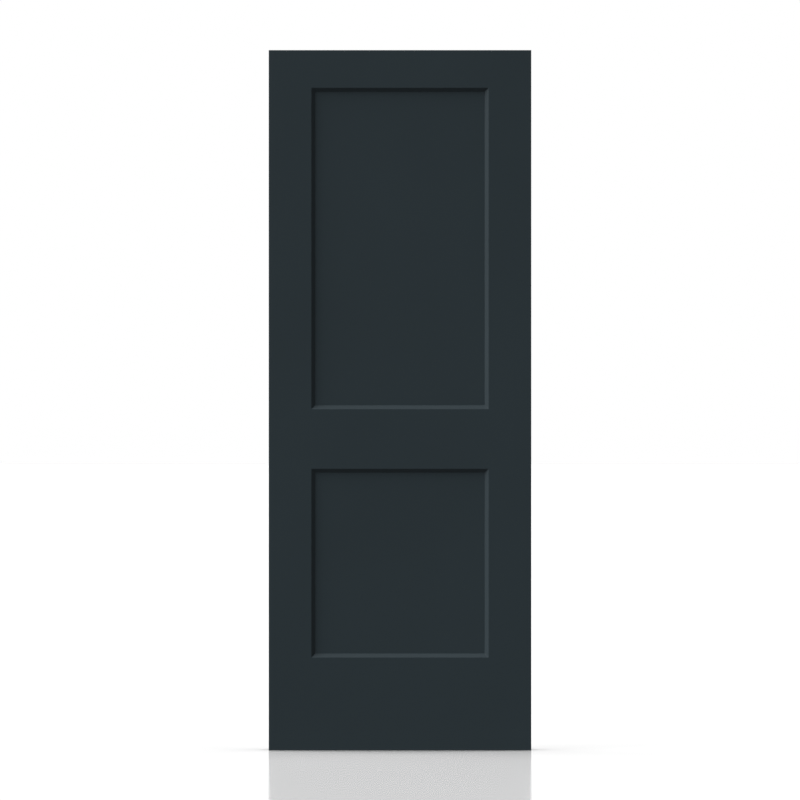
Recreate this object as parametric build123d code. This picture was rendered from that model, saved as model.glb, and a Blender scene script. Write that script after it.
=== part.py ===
from build123d import *
from math import atan2, degrees, hypot, sqrt
import os

# A moulded two-panel door leaf: two pressed fibreboard skins glued over a softwood frame, with lock
# blocks and a paper honeycomb between them. Lengths are in millimetres. Every piece is laid out as on
# the press bed, X across the leaf, Y from its foot to its head and Z out of its front face, with Z
# zero halfway through the thickness. The finished pieces are then stood upright.

# Leaf
DOOR_WIDTH = 762.0
DOOR_HEIGHT = 2032.0
DOOR_THICKNESS = 35.0
EASED_EDGE_RADIUS = 0.8

# Layout of each face, measured to the outer line of the panels' bevels
STILE_FACE_WIDTH = 123.8
TOP_RAIL_FACE_HEIGHT = 109.5
LOCK_RAIL_FACE_HEIGHT = 173.1
LOWER_PANEL_HEIGHT = 547.7
BOTTOM_RAIL_FACE_HEIGHT = 269.2

# Pressed skins
SKIN_THICKNESS = 3.2
PANEL_DEPTH = 8.0
BEVEL_WIDTH = 11.0
SHOULDER_RADIUS = 1.2
TOE_RADIUS = 1.6
MITRE_RADIUS = 1.8

# Softwood frame between the skins
STILE_WIDTH = 28.0
TOP_RAIL_HEIGHT = 28.0
BOTTOM_RAIL_HEIGHT = 38.0

# Lock blocks, one on each side so that the leaf can be hung from either edge
LOCK_HEIGHT = 914.0
LOCK_BLOCK_LENGTH = 400.0
LOCK_BLOCK_SETBACK = 6.0

# Paper honeycomb, its cells about this wide before it is stretched to fit
CELL_ACROSS_FLATS = 100.0
CELL_WALL = 1.2
CORE_CLEARANCE = 0.5

# Wide-crown staples across the butt joints of the frame, one in each face of each corner
STAPLE_CROWN = 25.0
STAPLE_LEG = 16.0
STAPLE_WIRE = 1.4
FRONT_STAPLE_SHARE = 0.35
BACK_STAPLE_SHARE = 0.65

# How far a cutting or joining shape runs on past the face that it meets
OVERRUN = 1.0

# Levels through the thickness
FRONT_LEVEL = DOOR_THICKNESS / 2
FRAME_LEVEL = FRONT_LEVEL - SKIN_THICKNESS
PANEL_LEVEL = FRONT_LEVEL - PANEL_DEPTH
PANEL_BACK_LEVEL = PANEL_LEVEL - SKIN_THICKNESS

# Panels, each as the height of its middle above the foot and its own height
PANEL_WIDTH = DOOR_WIDTH - 2 * STILE_FACE_WIDTH
LOWER_PANEL_TOP = BOTTOM_RAIL_FACE_HEIGHT + LOWER_PANEL_HEIGHT
UPPER_PANEL_FOOT = LOWER_PANEL_TOP + LOCK_RAIL_FACE_HEIGHT
UPPER_PANEL_TOP = DOOR_HEIGHT - TOP_RAIL_FACE_HEIGHT
PANELS = (
    ((BOTTOM_RAIL_FACE_HEIGHT + LOWER_PANEL_TOP) / 2, LOWER_PANEL_HEIGHT),
    ((UPPER_PANEL_FOOT + UPPER_PANEL_TOP) / 2, UPPER_PANEL_TOP - UPPER_PANEL_FOOT),
)

# Slope of the bevels, and how much wider than its hollow each panel stands on the skin's inner face,
# so that the pressed sheet keeps one thickness all the way down the bevel
BEVEL_TAPER = degrees(atan2(BEVEL_WIDTH, PANEL_DEPTH))
BULGE_SPREAD = SKIN_THICKNESS * (hypot(BEVEL_WIDTH, PANEL_DEPTH) - BEVEL_WIDTH) / PANEL_DEPTH

# Room inside the frame
CAVITY_EDGE = DOOR_WIDTH / 2 - STILE_WIDTH
CAVITY_WIDTH = 2 * CAVITY_EDGE
CAVITY_FOOT = BOTTOM_RAIL_HEIGHT
CAVITY_TOP = DOOR_HEIGHT - TOP_RAIL_HEIGHT
CAVITY_HEIGHT = CAVITY_TOP - CAVITY_FOOT
LOCK_BLOCK_WIDTH = STILE_FACE_WIDTH - STILE_WIDTH - BULGE_SPREAD - LOCK_BLOCK_SETBACK
LOCK_BLOCK_FOOT = LOCK_HEIGHT - LOCK_BLOCK_LENGTH / 2


def flared_block(panel, toe_inset, toe_level):
    """A block over one panel that widens upward from its toe at the slope of the bevel."""
    middle, height = panel
    toe = Rectangle(PANEL_WIDTH - 2 * toe_inset, height - 2 * toe_inset)
    return extrude(Pos(0, middle, toe_level) * toe, amount=PANEL_DEPTH + OVERRUN, taper=-BEVEL_TAPER)


def soften(block, mitre_radius, toe_radius):
    """Round a flared block's sloping corners, then the whole loop round its toe."""
    sloping_corners = block.edges().group_by(Axis.Z)[1]
    block = fillet(sloping_corners, mitre_radius)
    toe_loop = block.faces().sort_by(Axis.Z)[0].edges()
    return fillet(toe_loop, toe_radius)


def pressed_skin():
    """The front facing: one sheet of even thickness with both panels pressed into it."""
    foot_first = (Align.CENTER, Align.MIN, Align.MIN)
    skin = Pos(0, 0, FRAME_LEVEL) * Box(DOOR_WIDTH, DOOR_HEIGHT, SKIN_THICKNESS, align=foot_first)
    skin = fillet(skin.faces().sort_by(Axis.Z)[-1].edges(), EASED_EDGE_RADIUS)
    for panel in PANELS:
        bulge = flared_block(panel, BEVEL_WIDTH - BULGE_SPREAD, PANEL_BACK_LEVEL)
        skin += soften(bulge, MITRE_RADIUS + SKIN_THICKNESS, TOE_RADIUS + SKIN_THICKNESS)
    for panel in PANELS:
        hollow = flared_block(panel, BEVEL_WIDTH, PANEL_LEVEL)
        skin -= soften(hollow, MITRE_RADIUS, TOE_RADIUS)
    face = skin.faces().sort_by(Axis.Z)[-1]
    shoulders = [edge for loop in face.inner_wires() for edge in loop.edges()]
    return fillet(shoulders, SHOULDER_RADIUS)


def turned_round(piece):
    """The same piece, turned to face the back."""
    return piece.rotate(Axis.Y, 180)


def outline(left, foot, width, height):
    """A rectangle placed by its lower left corner."""
    return Pos(left, foot, 0) * Rectangle(width, height, align=(Align.MIN, Align.MIN))


def full_depth(shape):
    """Carry an outline through the whole room between the skins."""
    return extrude(Pos(0, 0, -FRAME_LEVEL) * shape, amount=2 * FRAME_LEVEL)


def stile(left):
    """An edge strip as tall as the leaf."""
    return full_depth(outline(left, 0, STILE_WIDTH, DOOR_HEIGHT))


def rail(foot, height):
    """A cross strip that butts against both stiles."""
    return full_depth(outline(-CAVITY_EDGE, foot, CAVITY_WIDTH, height))


def lock_block_outline(left):
    """The outline of a lock block, as wide as the flat of the skin beside the panels allows."""
    return outline(left, LOCK_BLOCK_FOOT, LOCK_BLOCK_WIDTH, LOCK_BLOCK_LENGTH)


def honeycomb(lock_block_outlines):
    """Paper cells stretched to fill the frame round the lock blocks, cut to the panels' backs.

    A half cell meets each stile, so the walls that end there run square into it.
    """
    columns = round(CAVITY_WIDTH / (CELL_ACROSS_FLATS * sqrt(3) / 2))
    half_rows = round(CAVITY_HEIGHT / (CELL_ACROSS_FLATS / 2))
    column_pitch = CAVITY_WIDTH / columns
    half_pitch = CAVITY_HEIGHT / half_rows
    point, shoulder = 2 * column_pitch / 3, column_pitch / 3
    right_side = [(shoulder, -half_pitch), (point, 0), (shoulder, half_pitch)]
    left_side = [(-x, -y) for x, y in right_side]
    cell = offset(Polygon(*right_side, *left_side), -CELL_WALL / 2, kind=Kind.INTERSECTION)
    cells = []
    for column in range(columns + 1):
        for half_row in range(column % 2, half_rows + 2, 2):
            place = Pos(-CAVITY_EDGE + column * column_pitch, CAVITY_FOOT + (half_row - 1 / 2) * half_pitch)
            cells.append(place * cell)
    cavity = outline(-CAVITY_EDGE, CAVITY_FOOT, CAVITY_WIDTH, CAVITY_HEIGHT)
    walls = cavity - [*cells, *lock_block_outlines]
    toe_inset = BEVEL_WIDTH - BULGE_SPREAD - CORE_CLEARANCE
    rooms = [flared_block(panel, toe_inset, PANEL_BACK_LEVEL) for panel in PANELS]
    return full_depth(walls) - [*rooms, *map(turned_round, rooms)]


def staple():
    """A staple driven from the front, its crown flush with the frame's face and along X."""
    crown_up = (Align.CENTER, Align.CENTER, Align.MAX)
    block = Box(STAPLE_CROWN, STAPLE_WIRE, STAPLE_LEG, align=crown_up)
    gap = Box(STAPLE_CROWN - 2 * STAPLE_WIRE, STAPLE_WIRE, STAPLE_LEG, align=crown_up)
    return Pos(0, 0, FRAME_LEVEL) * (block - Pos(0, 0, -STAPLE_WIRE) * gap)


def corner_staples():
    """A staple in each face of the frame at each of its four butt joints."""
    staples = []
    for joint in (-CAVITY_EDGE, CAVITY_EDGE):
        for foot, height in ((0, BOTTOM_RAIL_HEIGHT), (CAVITY_TOP, TOP_RAIL_HEIGHT)):
            staples.append(Pos(joint, foot + FRONT_STAPLE_SHARE * height, 0) * staple())
            staples.append(Pos(joint, foot + BACK_STAPLE_SHARE * height, 0) * turned_round(staple()))
    return staples


def stand_up(piece):
    """Turn a piece from the press bed onto the leaf's foot, front face towards -Y."""
    return piece.rotate(Axis.X, 90)


front_skin = pressed_skin()
staples = corner_staples()
left_lock_block = lock_block_outline(-CAVITY_EDGE)
right_lock_block = lock_block_outline(CAVITY_EDGE - LOCK_BLOCK_WIDTH)

pieces = {
    "front_skin": front_skin,
    "back_skin": turned_round(front_skin),
    "left_stile": stile(-DOOR_WIDTH / 2) - staples,
    "right_stile": stile(CAVITY_EDGE) - staples,
    "top_rail": rail(CAVITY_TOP, TOP_RAIL_HEIGHT) - staples,
    "bottom_rail": rail(0, BOTTOM_RAIL_HEIGHT) - staples,
    "left_lock_block": full_depth(left_lock_block),
    "right_lock_block": full_depth(right_lock_block),
    "honeycomb_core": honeycomb([left_lock_block, right_lock_block]),
    "corner_staples": Compound(staples),
}

os.makedirs("parts", exist_ok=True)
for name, piece in pieces.items():
    export_step(stand_up(piece), f"parts/{name}.step")
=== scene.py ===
import math

import bpy
from mathutils import Matrix, Vector


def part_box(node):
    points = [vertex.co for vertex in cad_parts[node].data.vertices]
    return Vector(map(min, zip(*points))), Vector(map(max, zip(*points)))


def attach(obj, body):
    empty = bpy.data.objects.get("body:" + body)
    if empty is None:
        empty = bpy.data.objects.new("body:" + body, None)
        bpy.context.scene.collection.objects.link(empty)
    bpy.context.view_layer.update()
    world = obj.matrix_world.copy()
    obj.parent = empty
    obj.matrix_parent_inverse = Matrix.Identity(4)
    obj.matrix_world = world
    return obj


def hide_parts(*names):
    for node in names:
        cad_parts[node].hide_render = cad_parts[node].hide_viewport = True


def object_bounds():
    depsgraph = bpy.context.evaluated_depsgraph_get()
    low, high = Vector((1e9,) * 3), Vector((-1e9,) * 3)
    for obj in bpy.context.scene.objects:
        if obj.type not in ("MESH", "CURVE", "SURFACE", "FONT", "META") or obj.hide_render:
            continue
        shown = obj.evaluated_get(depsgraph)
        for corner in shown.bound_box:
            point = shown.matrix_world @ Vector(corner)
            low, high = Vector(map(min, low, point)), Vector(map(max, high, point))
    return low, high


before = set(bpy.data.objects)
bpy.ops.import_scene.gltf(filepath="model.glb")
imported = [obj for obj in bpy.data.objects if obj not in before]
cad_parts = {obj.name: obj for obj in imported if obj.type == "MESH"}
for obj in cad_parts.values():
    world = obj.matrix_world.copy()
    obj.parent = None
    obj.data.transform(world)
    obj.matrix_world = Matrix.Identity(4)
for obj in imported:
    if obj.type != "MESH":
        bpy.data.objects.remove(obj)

# A moulded two-panel door leaf in charcoal paint, standing on a white floor, in metres
CAD_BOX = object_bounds()

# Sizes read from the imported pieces
LEAF_LOW, LEAF_HIGH = CAD_BOX
LEAF_WIDTH = LEAF_HIGH.x - LEAF_LOW.x
LEAF_HEIGHT = LEAF_HIGH.z - LEAF_LOW.z
FACE_LEVEL = LEAF_LOW.y
SHEET_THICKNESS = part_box("left_stile")[0].y - FACE_LEVEL
BUTT_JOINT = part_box("right_stile")[0].x
PANEL_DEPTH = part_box("front_skin")[1].y - FACE_LEVEL - SHEET_THICKNESS

# Layout of each face, to the outer line of the panels' bevels
STILE_FACE_WIDTH = 0.1238
TOP_RAIL_FACE_HEIGHT = 0.1095
LOCK_RAIL_FACE_HEIGHT = 0.1731
LOWER_PANEL_HEIGHT = 0.5477
BOTTOM_RAIL_FACE_HEIGHT = 0.2692
PANEL_WIDTH = LEAF_WIDTH - 2 * STILE_FACE_WIDTH
LOWER_PANEL_FOOT = BOTTOM_RAIL_FACE_HEIGHT
LOWER_PANEL_TOP = LOWER_PANEL_FOOT + LOWER_PANEL_HEIGHT
UPPER_PANEL_FOOT = LOWER_PANEL_TOP + LOCK_RAIL_FACE_HEIGHT
UPPER_PANEL_TOP = LEAF_HEIGHT - TOP_RAIL_FACE_HEIGHT

# Pressed edges of the skins
BEVEL_WIDTH = 0.011
SHOULDER_RADIUS = 0.0012
TOE_RADIUS = 0.0016
MITRE_RADIUS = 0.0018
EASED_EDGE_RADIUS = 0.0008
INNER_ARRIS = 0.0003
BEVEL_ANGLE = math.atan2(PANEL_DEPTH, BEVEL_WIDTH)
INNER_TOE_RADIUS = TOE_RADIUS + SHEET_THICKNESS
INNER_MITRE_RADIUS = MITRE_RADIUS + SHEET_THICKNESS
BULGE_SPREAD = SHEET_THICKNESS * (math.hypot(BEVEL_WIDTH, PANEL_DEPTH) - BEVEL_WIDTH) / PANEL_DEPTH

# How finely the flat blank is ruled, and how the pressed sheet is closed and turned round
ARC_STEPS = 5
SLOPE_STEPS = 16
HOLDING_GAP = 0.0004
WELD_DISTANCE = 0.000001
SHARP_ANGLE = math.radians(35)
HALF_TURN = Matrix.Diagonal((-1.0, -1.0, 1.0, 1.0))

# Charcoal paint, its colour as it shows on the flat of the leaf
CHARCOAL = (0.0203, 0.0294, 0.0343)
PAINT_GLOSS = 0.085
PAINT_ROUGHNESS = (0.43, 0.46)
PAINT_PATCH_SCALE = 30.0
PAINT_DRIFT_SCALE = 2.2
PAINT_SHADE_SHARES = (0.96, 1.04)
PEBBLE_SCALE = 900.0
PEBBLE_SHARE = 0.6
SWELL_SCALE = 140.0
SWELL_SHARE = 0.4
PAINT_RELIEF = 0.3
PAINT_RELIEF_DEPTH = 0.0003

# Softwood of the frame, painted where it lies in the leaf's edges
PINE_PALE = (0.60, 0.40, 0.21)
PINE_DARK = (0.42, 0.24, 0.10)
PINE_ROUGHNESS = 0.75
RING_SCALE = 1.6
RING_CROSSWISE_SCALE = 14.0
RING_COUNT = 9.0
LATE_WOOD_START = 0.45
LATE_WOOD_END = 0.95
RING_RELIEF_SHARE = 0.6
FIBRE_LENGTHWISE_SCALE = 8.0
FIBRE_CROSSWISE_SCALE = 900.0
FIBRE_TINT_SHARE = 0.35
FIBRE_SHADE_SHARE = 0.8
GRAIN_RELIEF_SHARE = 0.5
HAIRLINE = 0.0003
JOINT_SHADE_SHARE = 0.4
EDGE_ROUGHNESS = 0.46
EDGE_RELIEF = 0.5

# Bare board: the hidden faces of the skins and the lock blocks
HARDBOARD_BROWN = (0.15, 0.085, 0.045)
HARDBOARD_FLECK_SCALE = 400.0
FIBREBOARD_BROWN = (0.33, 0.22, 0.12)
FIBREBOARD_FLECK_SCALE = 700.0
BOARD_GLOSS = 0.3
BOARD_ROUGHNESS = (0.8, 0.92)
BOARD_SHADE_SHARES = (0.75, 1.2)
FLECK_CRISPNESS = 0.7
BOARD_RELIEF = 0.25
BOARD_RELIEF_DEPTH = 0.0002

# Kraft paper of the honeycomb
KRAFT_BROWN = (0.42, 0.28, 0.16)
KRAFT_GLOSS = 0.25
KRAFT_ROUGHNESS = (0.75, 0.9)
KRAFT_SHADE_SHARES = (0.8, 1.15)
KRAFT_FIBRE_SCALES = (120.0, 600.0, 700.0)
KRAFT_CLOUD_SCALE = 60.0
KRAFT_CLOUD_SHARES = (0.5, 1.0)
KRAFT_RELIEF = 0.3
KRAFT_RELIEF_DEPTH = 0.0001

# Zinc-coated wire of the staples
WIRE_GREY = (0.58, 0.58, 0.56)
WIRE_ROUGHNESS = (0.3, 0.45)
WIRE_SHADE_SHARES = (0.85, 1.1)
DRAWING_MARK_SCALES = (60.0, 2000.0, 2000.0)
WIRE_RELIEF = 0.1
WIRE_RELIEF_DEPTH = 0.0001

# What the finishes share: detail of a noise, the shades between which most of it lies, and optics
COARSE_DETAIL = 1.0
PLAIN_DETAIL = 2.0
FINE_DETAIL = 3.0
FINEST_DETAIL = 4.0
PLAIN_CRISPNESS = 0.5
NOISE_LOW = 0.3
NOISE_HIGH = 0.7
SURFACE_IOR = 1.5
WHITE = (1.0, 1.0, 1.0, 1.0)
X_AXIS, Y_AXIS, Z_AXIS = 0, 1, 2

# Places of the colour sockets on a mixing node
MIX_FIRST_COLOUR = 6
MIX_SECOND_COLOUR = 7
MIX_COLOUR_RESULT = 2

# Studio light: a soft glow from the upper left, a low level all round, and two lamps on the floor
GLOW_FROM = Vector((-1.0, 0.0, 1.0)).normalized()
GLOW_STRENGTH = 15.5
GLOW_FOCUS = 5.0
ALL_ROUND_STRENGTH = 0.05
SIDE_LAMP_STRENGTH = 36.0
SIDE_LAMP_SPREAD = math.radians(30)
SIDE_LAMP_TILT = math.radians(45)

# Floor
FLOOR_SIZE = 80.0
FLOOR_DROP = 0.0002
FLOOR_GREY = 0.06
FLOOR_SHEEN = 0.47
FLOOR_BLUR = 0.12
# Reach of the shade painted into the floor's colour around the leaf's foot
PAINTED_SHADE_REACH = 0.05

# Camera square to the face, with the leaf as large as in the photograph
IMAGE_PIXELS = 800
PIXELS_PER_METRE = 344.6
LEAF_MIDDLE_ROW = 400.2
CAMERA_DISTANCE = 9.0
CAMERA_REACH = 200.0
SENSOR_WIDTH_MM = 36.0


def connect(tree, socket, value):
    """Link a socket to another socket, or set it to a plain value."""
    if isinstance(value, bpy.types.NodeSocket):
        tree.links.new(value, socket)
    else:
        socket.default_value = value


def add_node(tree, kind, inputs=None, **settings):
    """Add a node with its settings and inputs."""
    node = tree.nodes.new(kind)
    for name, value in settings.items():
        setattr(node, name, value)
    for key, value in (inputs or {}).items():
        connect(tree, node.inputs[key], value)
    return node


def calc(tree, operation, *values):
    """The result of one sum."""
    node = tree.nodes.new("ShaderNodeMath")
    node.operation = operation
    for socket, value in zip(node.inputs, values):
        connect(tree, socket, value)
    return node.outputs[0]


def within(tree, value, low, high):
    """A value held between two others."""
    return calc(tree, "MINIMUM", calc(tree, "MAXIMUM", value, low), high)


# Pressing of the skins

def arc_height(tree, radius, reach):
    """The height of a circle above its middle, at a reach to one side of it."""
    squares = calc(tree, "SUBTRACT", calc(tree, "POWER", radius, 2.0), calc(tree, "POWER", reach, 2.0))
    return calc(tree, "SQRT", calc(tree, "MAXIMUM", squares, 0.0))


def pressed_depth(tree, inset, bevel, depth, shoulder_radius, toe_radius):
    """How far the sheet is sunk at a distance inside a panel's outer line.

    The section is a round shoulder, a straight bevel and a round toe, each adding its own drop.
    """
    angle = calc(tree, "ARCTAN2", depth, bevel)
    sine = calc(tree, "SINE", angle)
    cosine = calc(tree, "COSINE", angle)
    half_tangent = calc(tree, "TANGENT", calc(tree, "DIVIDE", angle, 2.0))
    shoulder_run = calc(tree, "MULTIPLY", shoulder_radius, half_tangent)
    toe_run = calc(tree, "MULTIPLY", toe_radius, half_tangent)
    slope_start = calc(tree, "MULTIPLY", shoulder_run, cosine)
    slope_end = calc(tree, "SUBTRACT", bevel, calc(tree, "MULTIPLY", toe_run, cosine))

    shoulder_span = calc(tree, "MULTIPLY", shoulder_radius, sine)
    shoulder_reach = within(tree, calc(tree, "ADD", inset, shoulder_run), 0.0, shoulder_span)
    shoulder_height = arc_height(tree, shoulder_radius, shoulder_reach)
    shoulder_drop = calc(tree, "SUBTRACT", shoulder_radius, shoulder_height)

    slope_span = calc(tree, "SUBTRACT", slope_end, slope_start)
    slope_reach = within(tree, calc(tree, "SUBTRACT", inset, slope_start), 0.0, slope_span)
    slope_drop = calc(tree, "MULTIPLY", slope_reach, calc(tree, "TANGENT", angle))

    toe_span = calc(tree, "MULTIPLY", toe_radius, sine)
    toe_reach = within(tree, calc(tree, "SUBTRACT", inset, slope_end), 0.0, toe_span)
    toe_height = arc_height(tree, toe_radius, calc(tree, "SUBTRACT", toe_span, toe_reach))
    toe_drop = calc(tree, "SUBTRACT", toe_height, calc(tree, "MULTIPLY", toe_radius, cosine))
    return calc(tree, "ADD", calc(tree, "ADD", shoulder_drop, slope_drop), toe_drop)


def rounded_least(tree, first, second, radius):
    """The lesser of two distances from the sides of a corner, with the corner rounded."""
    least = calc(tree, "MINIMUM", first, second)
    difference = calc(tree, "ABSOLUTE", calc(tree, "SUBTRACT", first, second))
    apart = calc(tree, "MINIMUM", difference, radius)
    twice_square = calc(tree, "MULTIPLY", calc(tree, "POWER", radius, 2.0), 2.0)
    across = calc(tree, "SQRT", calc(tree, "SUBTRACT", twice_square, calc(tree, "POWER", apart, 2.0)))
    reach = calc(tree, "DIVIDE", calc(tree, "ADD", apart, across), 2.0)
    return calc(tree, "ADD", least, calc(tree, "SUBTRACT", reach, radius))


SKIN_INPUTS = {
    "Face Level": FACE_LEVEL,
    "Leaf Width": LEAF_WIDTH,
    "Leaf Height": LEAF_HEIGHT,
    "Panel Width": PANEL_WIDTH,
    "Lower Panel Foot": LOWER_PANEL_FOOT,
    "Lower Panel Top": LOWER_PANEL_TOP,
    "Upper Panel Foot": UPPER_PANEL_FOOT,
    "Upper Panel Top": UPPER_PANEL_TOP,
    "Bevel Width": BEVEL_WIDTH,
    "Panel Depth": PANEL_DEPTH,
    "Shoulder Radius": SHOULDER_RADIUS,
    "Toe Radius": TOE_RADIUS,
    "Mitre Radius": MITRE_RADIUS,
    "Edge Radius": EASED_EDGE_RADIUS,
    "Inner Arris": INNER_ARRIS,
    "Sheet Thickness": SHEET_THICKNESS,
    "Bulge Spread": BULGE_SPREAD,
    "Sharp Angle": SHARP_ANGLE,
    "Weld Distance": WELD_DISTANCE,
}


def skin_press():
    """The press: a flat blank goes in, and a sheet with both panels formed in it comes out."""
    tree = bpy.data.node_groups.new("skin_press", "GeometryNodeTree")
    tree.interface.new_socket("Blank", in_out="INPUT", socket_type="NodeSocketGeometry")
    for name in SKIN_INPUTS:
        tree.interface.new_socket(name, in_out="INPUT", socket_type="NodeSocketFloat")
    for name in ("Paint", "Bare Board"):
        tree.interface.new_socket(name, in_out="INPUT", socket_type="NodeSocketMaterial")
    tree.interface.new_socket("Skin", in_out="OUTPUT", socket_type="NodeSocketGeometry")
    size = tree.nodes.new("NodeGroupInput").outputs

    # Distances inside the panels' outer lines and inside the leaf's edges
    position = tree.nodes.new("GeometryNodeInputPosition").outputs[0]
    place = add_node(tree, "ShaderNodeSeparateXYZ", {0: position}).outputs
    across, height = place["X"], place["Z"]
    off_centre = calc(tree, "ABSOLUTE", across)

    def inside(width, foot, top, corner_radius):
        from_side = calc(tree, "SUBTRACT", calc(tree, "DIVIDE", width, 2.0), off_centre)
        from_foot = calc(tree, "SUBTRACT", height, foot)
        from_top = calc(tree, "SUBTRACT", top, height)
        return rounded_least(tree, from_side, calc(tree, "MINIMUM", from_foot, from_top), corner_radius)

    def inside_panels(corner_radius):
        width = size["Panel Width"]
        lower = inside(width, size["Lower Panel Foot"], size["Lower Panel Top"], corner_radius)
        upper = inside(width, size["Upper Panel Foot"], size["Upper Panel Top"], corner_radius)
        return calc(tree, "MAXIMUM", lower, upper)

    from_edge = inside(size["Leaf Width"], 0.0, size["Leaf Height"], 0.0)

    # Outer face, with its edges eased
    radius = size["Edge Radius"]
    edge_reach = within(tree, calc(tree, "SUBTRACT", radius, from_edge), 0.0, radius)
    edge_drop = calc(tree, "SUBTRACT", radius, arc_height(tree, radius, edge_reach))
    sunk = pressed_depth(
        tree, inside_panels(size["Mitre Radius"]), size["Bevel Width"], size["Panel Depth"],
        size["Shoulder Radius"], size["Toe Radius"],
    )
    drop = add_node(tree, "ShaderNodeCombineXYZ", {"Y": calc(tree, "ADD", sunk, edge_drop)})
    outer = add_node(
        tree, "GeometryNodeSetPosition", {"Geometry": size["Blank"], "Offset": drop.outputs[0]}
    )

    # Inner face, one sheet thickness behind the outer one
    step = add_node(tree, "ShaderNodeCombineXYZ", {"Y": size["Sheet Thickness"]})
    walls = add_node(
        tree, "GeometryNodeExtrudeMesh",
        {"Mesh": outer.outputs[0], "Offset": step.outputs[0], "Individual": False}, mode="FACES",
    )
    inner_mitre_radius = calc(tree, "ADD", size["Mitre Radius"], size["Sheet Thickness"])
    inner_toe_radius = calc(tree, "ADD", size["Toe Radius"], size["Sheet Thickness"])
    inner_inset = calc(tree, "ADD", inside_panels(inner_mitre_radius), size["Bulge Spread"])
    inner_sunk = pressed_depth(
        tree, inner_inset, size["Bevel Width"], size["Panel Depth"], 0.0, inner_toe_radius
    )
    arris_cut = calc(tree, "MAXIMUM", calc(tree, "SUBTRACT", size["Inner Arris"], from_edge), 0.0)
    back_level = calc(tree, "ADD", size["Face Level"], size["Sheet Thickness"])
    inner_level = calc(tree, "SUBTRACT", calc(tree, "ADD", back_level, inner_sunk), arris_cut)
    behind = add_node(tree, "ShaderNodeCombineXYZ", {"X": across, "Y": inner_level, "Z": height})
    inner = add_node(
        tree, "GeometryNodeSetPosition",
        {
            "Geometry": walls.outputs["Mesh"],
            "Selection": walls.outputs["Top"],
            "Position": behind.outputs[0],
        },
    )
    turned = add_node(tree, "GeometryNodeFlipFaces", {"Mesh": inner.outputs[0]})
    both = tree.nodes.new("GeometryNodeJoinGeometry")
    tree.links.new(outer.outputs[0], both.inputs[0])
    tree.links.new(turned.outputs[0], both.inputs[0])
    closed = add_node(
        tree, "GeometryNodeMergeByDistance",
        {"Geometry": both.outputs[0], "Distance": size["Weld Distance"]},
    )

    # Longest diagonals follow the mitres, and only true arrises stay sharp
    split = add_node(
        tree, "GeometryNodeTriangulate", {"Mesh": closed.outputs[0]}, quad_method="LONGEST_DIAGONAL"
    )
    smooth = add_node(tree, "GeometryNodeSetShadeSmooth", {"Geometry": split.outputs[0]}, domain="FACE")
    edge_angle = tree.nodes.new("GeometryNodeInputMeshEdgeAngle").outputs["Unsigned Angle"]
    arris = add_node(
        tree, "FunctionNodeCompare", {"A": edge_angle, "B": size["Sharp Angle"]}, operation="GREATER_THAN"
    )
    crisp = add_node(
        tree, "GeometryNodeSetShadeSmooth",
        {"Geometry": smooth.outputs[0], "Selection": arris.outputs[0], "Shade Smooth": False},
        domain="EDGE",
    )

    # Paint on all that shows, and bare board on the hidden inner face
    real = add_node(tree, "GeometryNodeRealizeInstances", {"Geometry": crisp.outputs[0]})
    painted = add_node(
        tree, "GeometryNodeSetMaterial", {"Geometry": real.outputs[0], "Material": size["Paint"]}
    )
    past_arris = calc(tree, "GREATER_THAN", from_edge, size["Inner Arris"])
    hidden = calc(tree, "MULTIPLY", walls.outputs["Top"], past_arris)
    bare = add_node(
        tree, "GeometryNodeSetMaterial",
        {"Geometry": painted.outputs[0], "Selection": hidden, "Material": size["Bare Board"]},
    )
    add_node(tree, "NodeGroupOutput", {"Skin": bare.outputs[0]})
    return tree


def bevel_stations():
    """Distances inside a panel's outer line where the blank is ruled for the bevel's section."""
    half_tangent = math.tan(BEVEL_ANGLE / 2)
    turns = [BEVEL_ANGLE * step / ARC_STEPS for step in range(ARC_STEPS + 1)]

    def shoulder_arc(start, radius):
        return [start + radius * math.sin(turn) for turn in turns]

    def toe_arc(end, radius):
        return [end - radius * math.sin(BEVEL_ANGLE - turn) for turn in turns]

    shoulder = shoulder_arc(-SHOULDER_RADIUS * half_tangent, SHOULDER_RADIUS)
    toe_end = BEVEL_WIDTH + TOE_RADIUS * half_tangent
    toe = toe_arc(toe_end, TOE_RADIUS)
    inner_toe_end = BEVEL_WIDTH - BULGE_SPREAD + INNER_TOE_RADIUS * half_tangent
    inner_toe = toe_arc(inner_toe_end, INNER_TOE_RADIUS)
    past_corner = (1 - math.sqrt(1 / 2)) * INNER_MITRE_RADIUS
    holding = [
        -BULGE_SPREAD,
        shoulder[0] - HOLDING_GAP,
        toe_end + HOLDING_GAP,
        inner_toe_end + past_corner + HOLDING_GAP,
    ]
    slope_length = inner_toe[0] - shoulder[-1]
    slope = [shoulder[-1] + slope_length * step / SLOPE_STEPS for step in range(1, SLOPE_STEPS)]
    return sorted(shoulder + slope + toe + inner_toe + holding)


def edge_stations():
    """Distances inside an edge of the leaf where the blank is ruled for its eased edges."""
    turns = [math.pi / 2 * step / ARC_STEPS for step in range(ARC_STEPS + 1)]
    rounded = [EASED_EDGE_RADIUS * (1 - math.sin(turn)) for turn in turns]
    return rounded + [INNER_ARRIS, EASED_EDGE_RADIUS + HOLDING_GAP]


def ruled_lines(low, high, panel_spans):
    """Every line across the blank in one direction, from one edge of the leaf to the other."""
    lines = [low + gap for gap in edge_stations()] + [high - gap for gap in edge_stations()]
    for first, last in panel_spans:
        lines += [first + inset for inset in bevel_stations()]
        lines += [last - inset for inset in bevel_stations()]
    return sorted(lines)


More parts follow.
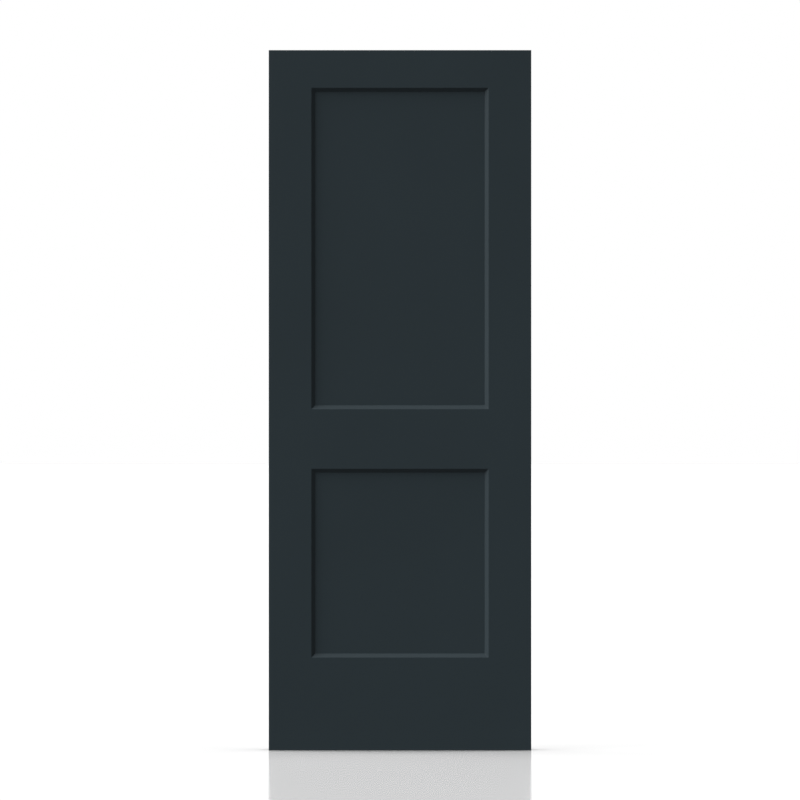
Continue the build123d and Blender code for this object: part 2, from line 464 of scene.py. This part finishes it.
def flat_blank(paint):
    """A flat sheet at the face of the leaf, ruled where the press will bend it, facing the front."""
    columns = ruled_lines(LEAF_LOW.x, LEAF_HIGH.x, [(-PANEL_WIDTH / 2, PANEL_WIDTH / 2)])
    panels = [(LOWER_PANEL_FOOT, LOWER_PANEL_TOP), (UPPER_PANEL_FOOT, UPPER_PANEL_TOP)]
    rows = ruled_lines(LEAF_LOW.z, LEAF_HIGH.z, panels)
    points = [(x, FACE_LEVEL, z) for z in rows for x in columns]
    count = len(columns)
    faces = []
    for row in range(len(rows) - 1):
        for column in range(count - 1):
            corner = row * count + column
            faces.append((corner, corner + 1, corner + count + 1, corner + count))
    mesh = bpy.data.meshes.new("flat_blank")
    mesh.from_pydata(points, [], faces)
    mesh.materials.append(paint)
    return mesh


def press_skin(name, press, blank, paint, board, turn):
    """Press one blank, turn it to its side of the leaf and keep the result as a plain mesh."""
    work = bpy.data.objects.new(name + "_blank", blank)
    bpy.context.scene.collection.objects.link(work)
    pressing = work.modifiers.new("press", "NODES")
    pressing.node_group = press
    sockets = press.interface.items_tree
    for label, value in SKIN_INPUTS.items():
        pressing[sockets[label].identifier] = value
    pressing[sockets["Paint"].identifier] = paint
    pressing[sockets["Bare Board"].identifier] = board
    seen = work.evaluated_get(bpy.context.evaluated_depsgraph_get())
    mesh = bpy.data.meshes.new_from_object(seen)
    work.modifiers.remove(pressing)
    bpy.data.objects.remove(work)
    mesh.name = name
    mesh.transform(turn)
    skin = bpy.data.objects.new(name, mesh)
    bpy.context.scene.collection.objects.link(skin)
    return skin


# Finishes

def new_finish(name, **constants):
    """A material with one shader, whose plain values are set on its own sockets."""
    material = bpy.data.materials.new(name)
    material.use_nodes = True
    tree = material.node_tree
    shader = tree.nodes["Principled BSDF"]
    for label, value in constants.items():
        shader.inputs[label.replace("_", " ")].default_value = value
    return material, tree, shader


def dress(tree, shader, colour, roughness, normal):
    """Lead the patterns of a finish into its shader."""
    connect(tree, shader.inputs["Base Color"], colour)
    connect(tree, shader.inputs["Roughness"], roughness)
    connect(tree, shader.inputs["Normal"], normal)


def object_place(tree, scales=(1.0, 1.0, 1.0)):
    """Object coordinates, scaled along the axes."""
    place = tree.nodes.new("ShaderNodeTexCoord").outputs["Object"]
    return add_node(tree, "ShaderNodeMapping", {"Vector": place, "Scale": scales}).outputs[0]


def noise(tree, place, scale=1.0, detail=PLAIN_DETAIL, crispness=PLAIN_CRISPNESS):
    """Soft random shades from 0 to 1."""
    inputs = {"Vector": place, "Scale": scale, "Detail": detail, "Roughness": crispness}
    return add_node(tree, "ShaderNodeTexNoise", inputs).outputs["Fac"]


def spread(tree, value, low, high, start=NOISE_LOW, end=NOISE_HIGH):
    """A shade mapped to a range of values."""
    inputs = {"Value": value, "From Min": start, "From Max": end, "To Min": low, "To Max": high}
    return add_node(tree, "ShaderNodeMapRange", inputs).outputs[0]


def as_colour(value):
    """A plain colour made opaque, or the output of a node as it is."""
    return value if isinstance(value, bpy.types.NodeSocket) else (*value, 1.0)


def tinted(tree, share, first, second):
    """A colour between two others."""
    node = add_node(tree, "ShaderNodeMix", data_type="RGBA")
    connect(tree, node.inputs["Factor"], share)
    connect(tree, node.inputs[MIX_FIRST_COLOUR], as_colour(first))
    connect(tree, node.inputs[MIX_SECOND_COLOUR], as_colour(second))
    return node.outputs[MIX_COLOUR_RESULT]


def shaded(colour, factor):
    """A colour made darker or lighter."""
    return tuple(factor * part for part in colour)


def varied(tree, share, colour, shade_shares):
    """A colour that runs from a darker to a lighter shade of itself."""
    darker, lighter = shade_shares
    return tinted(tree, share, shaded(colour, darker), shaded(colour, lighter))


def relief(tree, height, strength, distance):
    """A bumped normal."""
    inputs = {"Height": height, "Strength": strength, "Distance": distance}
    return add_node(tree, "ShaderNodeBump", inputs).outputs[0]


def paint_colour(tree, place):
    """Charcoal paint, with the slight drift in tone of a sprayed coat."""
    drift = spread(tree, noise(tree, place, PAINT_DRIFT_SCALE, FINE_DETAIL), 0.0, 1.0)
    return varied(tree, drift, CHARCOAL, PAINT_SHADE_SHARES)


def paint_height(tree, place):
    """The fine pebbling of sprayed paint."""
    pebbles = calc(tree, "MULTIPLY", noise(tree, place, PEBBLE_SCALE), PEBBLE_SHARE)
    swells = calc(tree, "MULTIPLY", noise(tree, place, SWELL_SCALE, COARSE_DETAIL), SWELL_SHARE)
    return calc(tree, "ADD", pebbles, swells)


def charcoal_paint():
    """Satin charcoal paint on smooth pressed board."""
    material, tree, shader = new_finish(
        "charcoal_paint", IOR=SURFACE_IOR, Specular_IOR_Level=PAINT_GLOSS
    )
    place = object_place(tree)
    patches = noise(tree, place, PAINT_PATCH_SCALE)
    dress(
        tree, shader,
        colour=paint_colour(tree, place),
        roughness=spread(tree, patches, *PAINT_ROUGHNESS),
        normal=relief(tree, paint_height(tree, place), PAINT_RELIEF, PAINT_RELIEF_DEPTH),
    )
    return material


def grain_scales(along, lengthwise, crosswise):
    """Scales of a pattern whose grain runs along one axis."""
    return tuple(lengthwise if axis == along else crosswise for axis in (X_AXIS, Y_AXIS, Z_AXIS))


def softwood(tree, along):
    """Pine: its colour and the height of its grain, which runs along one axis."""
    ring_place = object_place(tree, grain_scales(along, 1.0, RING_CROSSWISE_SCALE))
    waver = noise(tree, ring_place, RING_SCALE, FINE_DETAIL)
    rings = calc(tree, "FRACT", calc(tree, "MULTIPLY", waver, RING_COUNT))
    late_wood = spread(tree, rings, 0.0, 1.0, LATE_WOOD_START, LATE_WOOD_END)
    fibre_scales = grain_scales(along, FIBRE_LENGTHWISE_SCALE, FIBRE_CROSSWISE_SCALE)
    fibres = noise(tree, object_place(tree, fibre_scales))
    colour = tinted(tree, late_wood, PINE_PALE, PINE_DARK)
    speckles = spread(tree, fibres, 0.0, FIBRE_TINT_SHARE)
    speckled = tinted(tree, speckles, colour, shaded(PINE_DARK, FIBRE_SHADE_SHARE))
    return speckled, calc(tree, "ADD", calc(tree, "MULTIPLY", late_wood, RING_RELIEF_SHARE), fibres)


def painted_softwood(name, along):
    """Softwood with charcoal paint on the faces that lie in the leaf's edges and bare wood inside."""
    material, tree, shader = new_finish(name, IOR=SURFACE_IOR, Specular_IOR_Level=PAINT_GLOSS)
    place = object_place(tree)
    parts = add_node(tree, "ShaderNodeSeparateXYZ", {0: place}).outputs
    off_centre = calc(tree, "ABSOLUTE", parts["X"])
    past_side = calc(tree, "GREATER_THAN", off_centre, LEAF_HIGH.x - HAIRLINE)
    past_top = calc(tree, "GREATER_THAN", parts["Z"], LEAF_HIGH.z - HAIRLINE)
    past_foot = calc(tree, "LESS_THAN", parts["Z"], LEAF_LOW.z + HAIRLINE)
    coated = calc(tree, "MAXIMUM", past_side, calc(tree, "MAXIMUM", past_top, past_foot))
    from_joint = calc(tree, "ABSOLUTE", calc(tree, "SUBTRACT", off_centre, BUTT_JOINT))
    joint = spread(tree, from_joint, 1.0, 0.0, 0.0, HAIRLINE)
    wood_colour, grain = softwood(tree, along)
    paint = tinted(tree, joint, paint_colour(tree, place), shaded(CHARCOAL, JOINT_SHADE_SHARE))
    low_grain = calc(tree, "MULTIPLY", grain, GRAIN_RELIEF_SHARE)
    surface = calc(tree, "ADD", low_grain, paint_height(tree, place))
    height = calc(tree, "SUBTRACT", surface, joint)
    dress(
        tree, shader,
        colour=tinted(tree, coated, wood_colour, paint),
        roughness=spread(tree, coated, PINE_ROUGHNESS, EDGE_ROUGHNESS, 0.0, 1.0),
        normal=relief(tree, height, EDGE_RELIEF, PAINT_RELIEF_DEPTH),
    )
    return material


def bare_board(name, colour, fleck_scale):
    """Pressed wood fibre: flecked and dull."""
    material, tree, shader = new_finish(name, IOR=SURFACE_IOR, Specular_IOR_Level=BOARD_GLOSS)
    fibres = noise(tree, object_place(tree), fleck_scale, FINEST_DETAIL, FLECK_CRISPNESS)
    flecks = spread(tree, fibres, 0.0, 1.0)
    dress(
        tree, shader,
        colour=varied(tree, flecks, colour, BOARD_SHADE_SHARES),
        roughness=spread(tree, flecks, *BOARD_ROUGHNESS, 0.0, 1.0),
        normal=relief(tree, flecks, BOARD_RELIEF, BOARD_RELIEF_DEPTH),
    )
    return material


def kraft_paper():
    """Brown paper with short fibres lying across it."""
    material, tree, shader = new_finish("brown_kraft", IOR=SURFACE_IOR, Specular_IOR_Level=KRAFT_GLOSS)
    fibres = noise(tree, object_place(tree, KRAFT_FIBRE_SCALES), detail=FINE_DETAIL)
    clouds = noise(tree, object_place(tree), KRAFT_CLOUD_SCALE)
    patches = spread(tree, clouds, *KRAFT_CLOUD_SHARES)
    share = calc(tree, "MULTIPLY", spread(tree, fibres, 0.0, 1.0), patches)
    dress(
        tree, shader,
        colour=varied(tree, share, KRAFT_BROWN, KRAFT_SHADE_SHARES),
        roughness=spread(tree, fibres, *KRAFT_ROUGHNESS),
        normal=relief(tree, fibres, KRAFT_RELIEF, KRAFT_RELIEF_DEPTH),
    )
    return material


def staple_wire():
    """Zinc-coated wire with fine drawing marks along it."""
    material, tree, shader = new_finish("zinc_wire", Metallic=1.0)
    marks = noise(tree, object_place(tree, DRAWING_MARK_SCALES))
    dress(
        tree, shader,
        colour=varied(tree, marks, WIRE_GREY, WIRE_SHADE_SHARES),
        roughness=spread(tree, marks, *WIRE_ROUGHNESS),
        normal=relief(tree, marks, WIRE_RELIEF, WIRE_RELIEF_DEPTH),
    )
    return material


def finish_node(name, material):
    """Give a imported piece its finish."""
    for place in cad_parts[name].material_slots:
        place.material = material


# Studio

def studio_world():
    """White to the camera, in a polish and through glass, and else a glow from the upper left."""
    world = bpy.data.worlds.new("studio")
    world.use_nodes = True
    bpy.context.scene.world = world
    tree = world.node_tree
    tree.nodes.clear()
    direction = tree.nodes.new("ShaderNodeTexCoord").outputs["Generated"]
    facing = add_node(
        tree, "ShaderNodeVectorMath", {0: direction, 1: GLOW_FROM}, operation="DOT_PRODUCT"
    ).outputs["Value"]
    focused = calc(tree, "POWER", calc(tree, "MAXIMUM", facing, 0.0), GLOW_FOCUS)
    glow = calc(tree, "MULTIPLY", focused, GLOW_STRENGTH)
    level = calc(tree, "ADD", glow, ALL_ROUND_STRENGTH)
    light = add_node(tree, "ShaderNodeBackground", {"Color": WHITE, "Strength": level})
    white = add_node(tree, "ShaderNodeBackground", {"Color": WHITE, "Strength": 1.0})
    path = tree.nodes.new("ShaderNodeLightPath").outputs
    in_gloss_or_glass = calc(tree, "MAXIMUM", path["Is Glossy Ray"], path["Is Transmission Ray"])
    looked_at = calc(tree, "MAXIMUM", path["Is Camera Ray"], in_gloss_or_glass)
    mix = add_node(tree, "ShaderNodeMixShader", {0: looked_at, 1: light.outputs[0], 2: white.outputs[0]})
    add_node(tree, "ShaderNodeOutputWorld", {"Surface": mix.outputs[0]})


def studio_floor():
    """A wide pale floor that takes the leaf's shadow and throws no light back on it."""
    half = FLOOR_SIZE / 2
    level = LEAF_LOW.z - FLOOR_DROP
    corners = [(-half, -half, level), (half, -half, level), (half, half, level), (-half, half, level)]
    mesh = bpy.data.meshes.new("floor")
    mesh.from_pydata(corners, [], [(0, 1, 2, 3)])
    floor = bpy.data.objects.new("floor", mesh)
    bpy.context.scene.collection.objects.link(floor)
    floor.visible_diffuse = False
    floor.visible_glossy = False
    mesh.materials.append(floor_finish())
    light_floor(floor)


def floor_finish():
    """Matt board under a clear sheet that mirrors the leaf softly, its colour darkened near the leaf by a
    painted occlusion shade.
    """
    material = bpy.data.materials.new("floor_white")
    material.use_nodes = True
    tree = material.node_tree
    tree.nodes.clear()
    grey = as_colour((FLOOR_GREY, FLOOR_GREY, FLOOR_GREY))
    # Painted shade: ambient occlusion darkens the floor's colour near the leaf, on top of the lamps' real
    # shadow
    painted_contact_shade = add_node(tree, "ShaderNodeAmbientOcclusion", {"Color": grey, "Distance": PAINTED_SHADE_REACH})
    matt = add_node(tree, "ShaderNodeBsdfDiffuse", {"Color": painted_contact_shade.outputs["Color"]})
    sheen = add_node(tree, "ShaderNodeBsdfGlossy", {"Color": WHITE, "Roughness": FLOOR_BLUR})
    mix = add_node(tree, "ShaderNodeMixShader", {0: FLOOR_SHEEN, 1: matt.outputs[0], 2: sheen.outputs[0]})
    add_node(tree, "ShaderNodeOutputMaterial", {"Surface": mix.outputs[0]})
    return material


def light_floor(floor):
    """Two soft lamps, one at each side, that light the floor alone."""
    lit = bpy.data.collections.new("lit_by_side_lamps")
    lit.objects.link(floor)
    for side, tilt in (("left", -SIDE_LAMP_TILT), ("right", SIDE_LAMP_TILT)):
        data = bpy.data.lights.new(side + "_lamp", "SUN")
        data.energy = SIDE_LAMP_STRENGTH
        data.angle = SIDE_LAMP_SPREAD
        lamp = bpy.data.objects.new(side + "_lamp", data)
        bpy.context.scene.collection.objects.link(lamp)
        lamp.rotation_euler = (0.0, tilt, 0.0)
        lamp.light_linking.receiver_collection = lit


def studio_camera():
    """A level camera, square to the front of the leaf."""
    data = bpy.data.cameras.new("camera")
    data.sensor_width = SENSOR_WIDTH_MM
    to_face = CAMERA_DISTANCE + FACE_LEVEL
    data.lens = SENSOR_WIDTH_MM * PIXELS_PER_METRE * to_face / IMAGE_PIXELS
    data.clip_end = CAMERA_REACH
    camera = bpy.data.objects.new("camera", data)
    bpy.context.scene.collection.objects.link(camera)
    leaf_middle = (LEAF_LOW.z + LEAF_HIGH.z) / 2
    rise = (LEAF_MIDDLE_ROW - IMAGE_PIXELS / 2) / PIXELS_PER_METRE
    camera.location = (0.0, -CAMERA_DISTANCE, leaf_middle + rise)
    camera.rotation_euler = (math.radians(90), 0.0, 0.0)
    bpy.context.scene.camera = camera


paint = charcoal_paint()
hardboard = bare_board("hardboard", HARDBOARD_BROWN, HARDBOARD_FLECK_SCALE)
press = skin_press()
blank = flat_blank(paint)
for skin_name, node_name, turn in (
    ("moulded_front", "front_skin", Matrix.Identity(4)),
    ("moulded_back", "back_skin", HALF_TURN),
):
    skin = press_skin(skin_name, press, blank, paint, hardboard, turn)
    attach(skin, "root")
    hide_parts(node_name)

stile_finish = painted_softwood("painted_stile", Z_AXIS)
rail_finish = painted_softwood("painted_rail", X_AXIS)
lock_block_finish = bare_board("bare_fibreboard", FIBREBOARD_BROWN, FIBREBOARD_FLECK_SCALE)
node_finishes = {
    "left_stile": stile_finish,
    "right_stile": stile_finish,
    "top_rail": rail_finish,
    "bottom_rail": rail_finish,
    "left_lock_block": lock_block_finish,
    "right_lock_block": lock_block_finish,
    "honeycomb_core": kraft_paper(),
    "corner_staples": staple_wire(),
}
for node_name, finish in node_finishes.items():
    finish_node(node_name, finish)

studio_world()
studio_floor()
studio_camera()
bpy.context.scene.view_settings.view_transform = "Standard"
